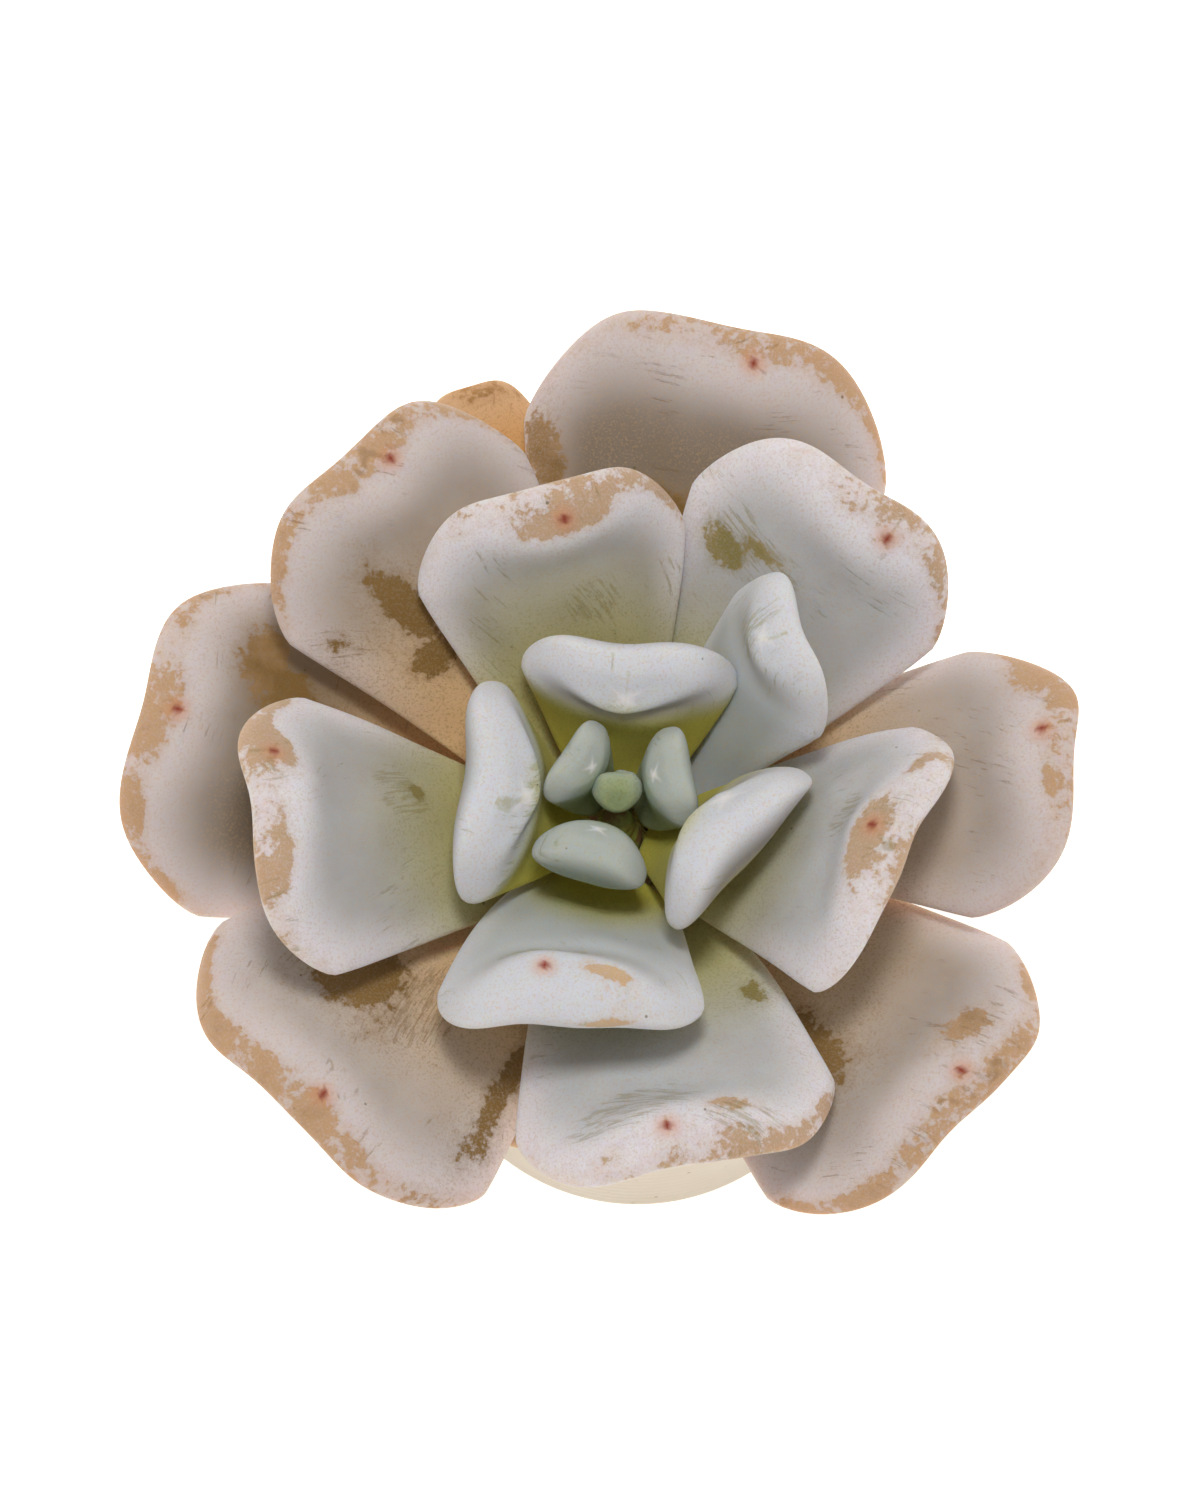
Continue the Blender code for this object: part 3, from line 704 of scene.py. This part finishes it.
def leaf_notes(leaf, across, along, through, radius, points):
    """The values that the bloom reads at every point: shares from 0 to 1, and flat_mm for the scratches.

    rim is 1 at the margin of the outer part, the taupe painted shade fades towards the end and adds a
    band under an inner leaf's end, and a mark that belongs to the face is cut off on the back, where
    through is negative.
    """
    white = group(leaf) == "bud" or leaf["name"] in PALE_MUCRO
    red = 0.0 if white or group(leaf) == "hidden" else 1.0
    dot, halo, ridge = mucro_marks(leaf, across, along, through, points)
    wear, moss = worn_share(leaf, across, along, radius)
    scuff, flat_mm = scuffed(leaf, across, along, through)
    # Painted shade in a band under an inner leaf's end, where its face turns down below the ridge; it adds to
    # the taupe shade
    below_end = ease((END_STARTS - along) / 0.06) * ease((along - UNDER_END_SHADE_STARTS) / 0.1)
    under_end_shade = (group(leaf) == "inner") * below_end
    return {
        "wear": wear,
        "moss": moss,
        "taupe_shade": TAUPE_SHADE.get(leaf["name"], 0.0) * (1.0 - ease((along - 0.72) / 0.28)) + 0.3 * under_end_shade,
        "depth": depth_share(leaf, along, points),
        "rim": ease((radius - 0.62) / 0.36) * ease((along - 0.2) / 0.5),
        "mucro": red * dot * (through > -0.5),
        "halo": 0.6 * red * halo * (through > -0.5),
        # The pale dot on young mucros, and a painted highlight on the V of ridges behind it
        "pale_and_highlight": 0.75 * (white and leaf["name"] != "bud_core") * ridge * (through > -0.7),
        "crease": creases(leaf, across, along) * (through > 0),
        "scuff": scuff * (through > 0),
        "flat_mm": flat_mm,
    }


print("pale mucros:", PALE_MUCRO)

# %% [markdown]
# ## Grow the leaves
# Every leaf of the plan now gets its skin. Each one stands for the coarse solid of the same name, and
# the print shows how far its box is from that solid's box, which should be a fraction of a millimetre.

# %% Build all leaves
SLIM = 0.97


def grow(leaf):
    """The pebble grid, narrowed by SLIM, through the leaf formula, and how far its box is off in mm."""
    across, along, through, radius = pebble(RINGS, AROUND)
    across = across * SLIM
    points = leaf_place(leaf, across, along, through)
    notes = leaf_notes(leaf, across, along, through, radius, points)
    made = skin(leaf["name"] + "_skin", points * MM, pebble_quads, pebble_caps,
                leaf_finishes[group(leaf)], notes)
    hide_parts(leaf["name"])
    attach(made, "root")
    low, high = (np.array(corner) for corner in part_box(leaf["name"]))
    gap = max(np.abs(points.min(axis=0) * MM - low).max(), np.abs(points.max(axis=0) * MM - high).max())
    return made, gap / MM


for leaf in LEAVES:
    made, gap = grow(leaf)
    print(f"{made.name:28s} box differs by {gap:.2f} mm")

# %% [markdown]
# ## Pot, soil and stem
# The pot is plain cream stoneware with a matt glaze, thrown on a wheel, so a profile turned about
# the upright axis makes it. Throwing leaves rings a few hundredths of a millimetre deep.

# %% Turned pieces


def turned(profile, around, centre=(0.0, 0.0)):
    """Profile points (radius, height) at every angle: x = r cos t, y = r sin t. Its ends are the poles."""
    turn = np.linspace(0.0, math.tau, around, endpoint=False)
    radius, height = np.array(profile[1:-1]).T
    x = np.outer(radius, np.cos(turn)) + centre[0]
    y = np.outer(radius, np.sin(turn)) + centre[1]
    z = np.repeat(height[:, None], around, axis=1)
    body = np.stack([x, y, z], axis=-1).reshape(-1, 3)
    poles = [(centre[0], centre[1], profile[i][1]) for i in (0, -1)]
    points = np.concatenate([poles[:1], body, poles[1:]])
    return points, *ring_faces(len(radius), around)


def rounded(profile, spacing):
    """The same path with points every spacing millimetres, and its corners softened by averaging."""
    path = np.array(profile, dtype=float)
    steps = np.hypot(*np.diff(path, axis=0).T)
    reach = np.concatenate([[0.0], np.cumsum(steps)])
    even = np.linspace(0.0, reach[-1], int(reach[-1] / spacing) + 1)
    fine = np.stack([np.interp(even, reach, path[:, i]) for i in (0, 1)], axis=-1)
    for _ in range(3):
        fine[1:-1] = (fine[:-2] + 2 * fine[1:-1] + fine[2:]) / 4
    return fine


def pot_inside(height):
    """Inner radius: half of a straight taper from the foot's width to the top's, less the wall."""
    return (POT_FOOT + (POT_TOP - POT_FOOT) * height / POT_HIGH) / 2 - POT_WALL


RIM_BAND_HIGH, RIM_BAND_DEPTH = 6.0, 0.8
band_low = POT_HIGH - RIM_BAND_HIGH
lip = POT_WALL / 4
pot_profile = rounded([
    (0.0, POT_FLOOR), (pot_inside(POT_FLOOR) - lip, POT_FLOOR),
    (pot_inside(POT_FLOOR + lip), POT_FLOOR + lip), (pot_inside(POT_HIGH), POT_HIGH - lip),
    (pot_inside(POT_HIGH) + lip, POT_HIGH), (POT_TOP / 2 + RIM_BAND_DEPTH - lip, POT_HIGH),
    (POT_TOP / 2 + RIM_BAND_DEPTH, POT_HIGH - lip),
    (pot_inside(band_low) + POT_WALL + RIM_BAND_DEPTH, band_low),
    (pot_inside(band_low) + POT_WALL, band_low - RIM_BAND_DEPTH), (POT_FOOT / 2, lip),
    (POT_FOOT / 2 - lip, 0.0), (0.0, 0.0)], spacing=0.35)
RING_PITCH, RING_DEPTH = 1.6, 0.04
wall = (pot_profile[:, 0] > POT_FOOT / 2 - 0.4) & (pot_profile[:, 1] > 1.0)
pot_profile[wall, 0] += RING_DEPTH * np.sin(math.tau * pot_profile[wall, 1] / RING_PITCH)
print("pot profile:", len(pot_profile), "points")

# %% [markdown]
# Stoneware's matt glaze is a rough dielectric that lets a little iron speckle of the clay show. The
# speckles on such a pot are about 0.4 mm wide and sparse, and the glaze itself is gently uneven.

# %% Matt stoneware glaze
GLAZE_CLOUD, GLAZE_PITS, SPECKLE_PITCH, GLAZE_UNEVEN = 9.0, 0.7, 2.6, 0.06


def matt_glaze(name):
    """Cream matt glaze, IOR 1.5 and roughness 0.55, with sparse iron speckle and an uneven coat."""
    made, tree, place = blank_finish(name)
    cloud, pits = (node(tree, "ShaderNodeTexNoise", {"Vector": place, "Scale": per_metre(size),
                                                     "Detail": 4.0}).outputs["Fac"]
                   for size in (GLAZE_CLOUD, GLAZE_PITS))
    dots = node(tree, "ShaderNodeTexVoronoi", {"Vector": place,
                                               "Scale": per_metre(SPECKLE_PITCH)}).outputs["Distance"]
    speckle = node(tree, "ShaderNodeMapRange", {"Value": dots, "From Min": 0.06, "From Max": 0.11,
                                                "To Min": 0.7, "To Max": 0.0}).outputs[0]
    shade = linear("#eadfce")
    for share, colour in ((cloud, "#dfd0ba"), (speckle, "#9a7a58")):
        shade = node(tree, "ShaderNodeMix", {0: share, MIX_A: shade, MIX_B: linear(colour)},
                     data_type="RGBA").outputs[MIX_RESULT]
    rough = node(tree, "ShaderNodeMapRange", {"Value": cloud, "To Min": 0.48, "To Max": 0.66}).outputs[0]
    height = node(tree, "ShaderNodeMath", {0: cloud, 1: 2.0, 2: pits}, operation="MULTIPLY_ADD").outputs[0]
    bump = node(tree, "ShaderNodeBump", {"Height": height, "Distance": GLAZE_UNEVEN * MM, "Strength": 0.7})
    shader = node(tree, "ShaderNodeBsdfPrincipled", {
        "Base Color": shade, "Roughness": rough, "Normal": bump.outputs[0], "IOR": 1.5})
    node(tree, "ShaderNodeOutputMaterial", {"Surface": shader.outputs[0]})
    return made


DRAIN_HOLES, DRAIN_RADIUS, DRAIN_CIRCLE, PUNCH_PAST = 5, 2.5, 11.0, 1.0
pot_points, pot_quads, pot_caps = turned(pot_profile, around=160)
pot = skin("pot_glazed", pot_points * MM, pot_quads, pot_caps, matt_glaze("matt_stoneware_glaze"))
for number in range(DRAIN_HOLES):
    angle = math.tau * number / DRAIN_HOLES
    place = (DRAIN_CIRCLE * math.cos(angle), DRAIN_CIRCLE * math.sin(angle))
    path = [(0.0, -PUNCH_PAST), (DRAIN_RADIUS, -PUNCH_PAST), (DRAIN_RADIUS, POT_FLOOR + PUNCH_PAST),
            (0.0, POT_FLOOR + PUNCH_PAST)]
    punch_points, punch_quads, punch_caps = turned(path, around=40, centre=place)
    punch = skin(f"drain_punch_{number + 1}", punch_points * MM, punch_quads, punch_caps,
                 pot.data.materials[0])
    hole = pot.modifiers.new(punch.name, "BOOLEAN")
    hole.object = punch
    hole.solver = "EXACT"
cut_pot = bpy.data.meshes.new_from_object(pot.evaluated_get(bpy.context.evaluated_depsgraph_get()))
pot.modifiers.clear()
pot.data = cut_pot
for punch in [item for item in bpy.data.objects if item.name.startswith("drain_punch")]:
    bpy.data.objects.remove(punch, do_unlink=True)
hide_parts("pot")
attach(pot, "root")
print("pot:", len(pot.data.polygons), "faces with", DRAIN_HOLES, "holes")

# %% [markdown]
# Potting mix is coir and bark crumbs with some pale grit. The body is one bumpy disc, and on its top
# lie a few hundred loose crumbs, each a lumpy ball of a few dozen faces, joined into one mesh.

# %% Potting mix
SOIL_LUMP, CRUMB_BUMP = 0.22, 0.5


def earthy(name, dark, light, crumb_size):
    """Damp organic crumbs: roughness 0.8 to 1, dark to light by fine noise, bumpy at a crumb's size."""
    made, tree, place = blank_finish(name)
    lump, fine = (node(tree, "ShaderNodeTexNoise", {"Vector": place, "Scale": per_metre(size),
                                                    "Detail": 5.0}).outputs["Fac"]
                  for size in (crumb_size, crumb_size / 4))
    share = node(tree, "ShaderNodeMapRange", {"Value": fine, "From Min": 0.35, "From Max": 0.65}).outputs[0]
    shade = node(tree, "ShaderNodeMix", {0: share, MIX_A: linear(dark), MIX_B: linear(light)},
                 data_type="RGBA").outputs[MIX_RESULT]
    height = node(tree, "ShaderNodeMath", {0: lump, 1: 2.0, 2: fine}, operation="MULTIPLY_ADD").outputs[0]
    bump = node(tree, "ShaderNodeBump", {"Height": height, "Distance": CRUMB_BUMP * MM,
                                         "Strength": 0.9})
    rough = node(tree, "ShaderNodeMapRange", {"Value": lump, "To Min": 0.8, "To Max": 1.0}).outputs[0]
    shader = node(tree, "ShaderNodeBsdfPrincipled", {"Base Color": shade, "Roughness": rough,
                                                     "Normal": bump.outputs[0], "IOR": 1.4})
    node(tree, "ShaderNodeOutputMaterial", {"Surface": shader.outputs[0]})
    return made


soil_low = POT_FLOOR + TOUCH
soil_edge = pot_inside(soil_level) - TOUCH
soil_path = rounded([(0.0, soil_level + SOIL_RISE - 0.2), (soil_edge, soil_level - 0.3),
                     (pot_inside(soil_low + 1.0) - TOUCH, soil_low + 1.0),
                     (pot_inside(soil_low) - 1.0, soil_low), (0.0, soil_low)], spacing=0.4)
soil_points, soil_quads, soil_caps = turned(soil_path, around=180)
x, y, z = soil_points.T
# The lumps fade out on the last 1.5 mm towards the wall and below the surface
on_top = ease((z - soil_level + 1.5) / 1.0) * ease((soil_edge - 0.6 - np.hypot(x, y)) / 1.5)
lumps = np.sin(1.9 * x + 0.8 * y) * np.sin(1.6 * y - 0.7 * x + 1.0) + 0.6 * np.sin(3.7 * x - 2.9 * y + 2.0)
soil_points[:, 2] += on_top * SOIL_LUMP * lumps
potting_mix = earthy("damp_potting_mix", "#1d1510", "#4b382a", 1.4)
soil = skin("soil_body", soil_points * MM, soil_quads, soil_caps, potting_mix)
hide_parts("soil")
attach(soil, "root")
print("soil:", len(soil.data.vertices), "points")

# %% Loose crumbs
CRUMBS, CRUMB_SMALL, CRUMB_LARGE = 620, 0.45, 1.5
BALL_RINGS, BALL_AROUND = (0.65, 1.25, 1.9, 2.5), 7
rng = np.random.default_rng(7)


def scattered(name, count, surface):
    """Lumpy balls on the soil: unit ball points * three sizes, turned about z, at sqrt-even radii."""
    ball = np.concatenate([[(0.0, 0.0, 1.0)], [
        (math.sin(fall) * math.cos(step), math.sin(fall) * math.sin(step), math.cos(fall))
        for fall in BALL_RINGS for step in np.arange(BALL_AROUND) * math.tau / BALL_AROUND],
        [(0.0, 0.0, -1.0)]])
    quads, caps = ring_faces(len(BALL_RINGS), BALL_AROUND)
    size = rng.uniform(CRUMB_SMALL, CRUMB_LARGE, (count, 1, 1)) / 2
    stretch = rng.uniform(0.55, 1.3, (count, 1, 3))
    lumpy = rng.uniform(0.8, 1.15, (count, len(ball), 1))
    turn = rng.uniform(0.0, math.tau, count)
    grains = ball * lumpy * stretch * size
    x = grains[..., 0] * np.cos(turn)[:, None] - grains[..., 1] * np.sin(turn)[:, None]
    y = grains[..., 0] * np.sin(turn)[:, None] + grains[..., 1] * np.cos(turn)[:, None]
    away = (soil_edge - 1.2) * np.sqrt(rng.uniform(0.05, 1.0, count))
    around = rng.uniform(0.0, math.tau, count)
    rest = soil_level + SOIL_RISE * (1.0 - (away / soil_edge) ** 2) - 0.1
    centre = np.stack([away * np.cos(around), away * np.sin(around), rest], axis=-1)[:, None, :]
    points = (np.stack([x, y, grains[..., 2]], axis=-1) + centre).reshape(-1, 3)
    shift = (np.arange(count) * len(ball))[:, None, None]
    return skin(name, points * MM, (quads[None] + shift).reshape(-1, 4),
                (caps[None] + shift).reshape(-1, 3), surface)


for name, count, dark, light in (("soil_crumbs", CRUMBS, "#241811", "#5c4431"),
                                 ("soil_grit", CRUMBS // 5, "#8b7a66", "#c4b59c")):
    crumbs = scattered(name, count, earthy(name + "_finish", dark, light, 0.9))
    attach(crumbs, "root")
    print(crumbs.name, len(crumbs.data.polygons), "faces")

# %% [markdown]
# ## The stem
# Old leaves have left the stem ringed with shallow scars, and its skin is green turning to brown
# where it meets the soil. It is mostly hidden, so a turned profile with a wave for the scars is enough.

# %% Turn the stem
SCAR_PITCH, SCAR_DEPTH = 1.9, 0.12
stem_path = rounded([(0.0, STEM_HIGH + STEM_TOP_RADIUS / 2), (STEM_TOP_RADIUS, STEM_HIGH),
                     (STEM_FOOT_RADIUS, 0.0), (STEM_FOOT_RADIUS, TOUCH - STEM_ROOT), (0.0, -STEM_ROOT)],
                    spacing=0.25)
side = (stem_path[:, 0] > 0.9) & (stem_path[:, 1] > 0.3) & (stem_path[:, 1] < STEM_HIGH - 0.5)
stem_path[side, 0] -= SCAR_DEPTH * (1.0 + np.sin(math.tau * stem_path[side, 1] / SCAR_PITCH)) / 2
stem_path[:, 1] += soil_level
stem_points, stem_quads, stem_caps = turned(stem_path, around=96, centre=(PLANT_OFF_AXIS, 0.0))


def young_bark(name):
    """Soft plant stem: green skin 0.5 rough with brown corky patches 0.85 rough, a little lit through."""
    made, tree, place = blank_finish(name)
    cork = node(tree, "ShaderNodeTexNoise", {"Vector": place, "Scale": per_metre(2.2), "Detail": 5.0})
    share = node(tree, "ShaderNodeMapRange", {"Value": cork.outputs["Fac"], "From Min": 0.45,
                                              "From Max": 0.58}).outputs[0]
    shade = node(tree, "ShaderNodeMix", {0: share, MIX_A: linear("#9aa05a"), MIX_B: linear("#8a6a44")},
                 data_type="RGBA").outputs[MIX_RESULT]
    bump = node(tree, "ShaderNodeBump", {"Height": cork.outputs["Fac"], "Distance": 0.15 * MM})
    rough = node(tree, "ShaderNodeMapRange", {"Value": share, "To Min": 0.5, "To Max": 0.85}).outputs[0]
    shader = node(tree, "ShaderNodeBsdfPrincipled", {
        "Base Color": shade, "Roughness": rough, "Normal": bump.outputs[0], "Subsurface Weight": 0.2,
        "Subsurface Radius": (1.0, 0.7, 0.3), "Subsurface Scale": 1.5 * MM})
    node(tree, "ShaderNodeOutputMaterial", {"Surface": shader.outputs[0]})
    return made


stem = skin("stem_bark", stem_points * MM, stem_quads, stem_caps, young_bark("young_bark"))
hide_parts("stem")
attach(stem, "root")
print("stem:", len(stem.data.vertices), "points")

# %% [markdown]
# ## Studio
# The plant stands on a white sweep that is lit until hardly a shadow is left on it, as for a cut-out
# product picture. A soft box high above, a little behind, gives the leaves' ends their light, two
# weaker ones fill in from the sides, and the white surroundings light the plant all round, so nothing
# casts a hard edge. The surroundings look brighter than the light they give, which keeps the backdrop
# white without washing out the leaves.

# %% Floor, lights and surroundings
FLOOR_SIZE, FLOOR_BELOW = 6.0, 0.05
bpy.ops.mesh.primitive_plane_add(size=FLOOR_SIZE, location=(0.0, 0.0, -FLOOR_BELOW * MM))
floor = bpy.context.object
floor.name = "white_sweep"
sweep = bpy.data.materials.new("lit_white_sweep")
sweep.use_nodes = True
sweep_shader = sweep.node_tree.nodes["Principled BSDF"]
sweep_shader.inputs["Base Color"].default_value = linear("#f4f2ef")
sweep_shader.inputs["Roughness"].default_value = 0.9
sweep_shader.inputs["Emission Color"].default_value = linear("#fffdf8")
sweep_shader.inputs["Emission Strength"].default_value = 0.75
floor.data.materials.append(sweep)

world = bpy.data.worlds.new("white_surroundings")
bpy.context.scene.world = world
world.use_nodes = True
SURROUNDINGS, BACKDROP = 0.37, 1.0
seen = node(world.node_tree, "ShaderNodeLightPath").outputs["Is Camera Ray"]
strength = node(world.node_tree, "ShaderNodeMapRange", {"Value": seen, "To Min": SURROUNDINGS,
                                                        "To Max": BACKDROP}).outputs[0]
world.node_tree.nodes["Background"].inputs["Color"].default_value = (1.0, 1.0, 1.0, 1.0)
world.node_tree.links.new(strength, world.node_tree.nodes["Background"].inputs["Strength"])

PLANT_CENTRE = np.array([-3.6, 6.1, 65.0]) * MM


def soft_box(name, azimuth, elevation, away, size, watts):
    """A square light that faces the plant from away metres. Azimuth 0 is the front, 90 the right.

    The way back from the plant is (sin a cos e, -cos a cos e, sin e).
    """
    back = np.array([math.sin(math.radians(azimuth)) * math.cos(math.radians(elevation)),
                     -math.cos(math.radians(azimuth)) * math.cos(math.radians(elevation)),
                     math.sin(math.radians(elevation))])
    data = bpy.data.lights.new(name, "AREA")
    data.size = size
    data.energy = watts
    made = bpy.data.objects.new(name, data)
    made.location = PLANT_CENTRE + back * away
    made.rotation_mode = "QUATERNION"
    made.rotation_quaternion = mathutils.Vector(-back).to_track_quat("-Z", "Y")
    bpy.context.scene.collection.objects.link(made)
    return made


soft_box("top_soft_box", azimuth=180, elevation=86, away=1.0, size=0.18, watts=4.9)
soft_box("left_soft_box", azimuth=-110, elevation=40, away=0.9, size=0.6, watts=0.6)
soft_box("right_soft_box", azimuth=110, elevation=40, away=0.9, size=0.6, watts=0.4)

# %% [markdown]
# ## Camera
# The camera looks down on the plant from the front, at 73 degrees above the horizon. A long lens far
# away keeps the near buds and the low outer leaves at nearly the same scale. Its view is FRAME_HIGH
# millimetres high at the plant.

# %% Camera
ELEVATION, FRAME_HIGH, LENS, SENSOR = 73.0, 141.0, 400.0, 36.0
camera_data = bpy.data.cameras.new("long_lens")
camera_data.lens = LENS
camera_data.sensor_width = SENSOR
camera_data.clip_end = 20.0
away = FRAME_HIGH * MM * LENS / SENSOR
tilt = math.radians(ELEVATION)
camera = bpy.data.objects.new("camera", camera_data)
camera.location = PLANT_CENTRE + away * np.array([0.0, -math.cos(tilt), math.sin(tilt)])
camera.rotation_euler = (math.radians(90.0 - ELEVATION), 0.0, 0.0)
bpy.context.scene.collection.objects.link(camera)
bpy.context.scene.camera = camera
bpy.context.scene.view_settings.view_transform = "Standard"
print("camera", round(away, 3), "m away")
